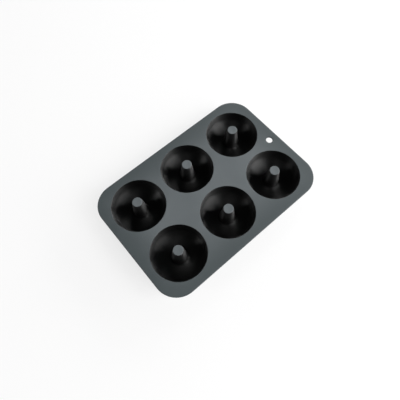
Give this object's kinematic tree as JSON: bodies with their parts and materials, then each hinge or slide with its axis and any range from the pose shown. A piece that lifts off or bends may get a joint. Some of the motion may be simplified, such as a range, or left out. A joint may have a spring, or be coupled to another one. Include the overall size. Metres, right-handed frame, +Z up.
{
  "type": "silicone baking mould",
  "caption": "Flat silicone baking mould with rounded corners, a grid of round cavities with a tapered hollow post in each, and a hanging hole.",
  "frame": {"origin": "middle of the underside, on the surface that the cups stand on", "axes": "+Z up, the way the cavities open; +X along the long side, towards the hanging hole"},
  "size_m": [0.2598, 0.1782, 0.0328],
  "materials": {
    "silicone": "moulded black silicone, matte on the tray and polished in the cavities"
  },
  "bodies": {
    "root": {"mould": "silicone"}
  },
  "joints": []
}
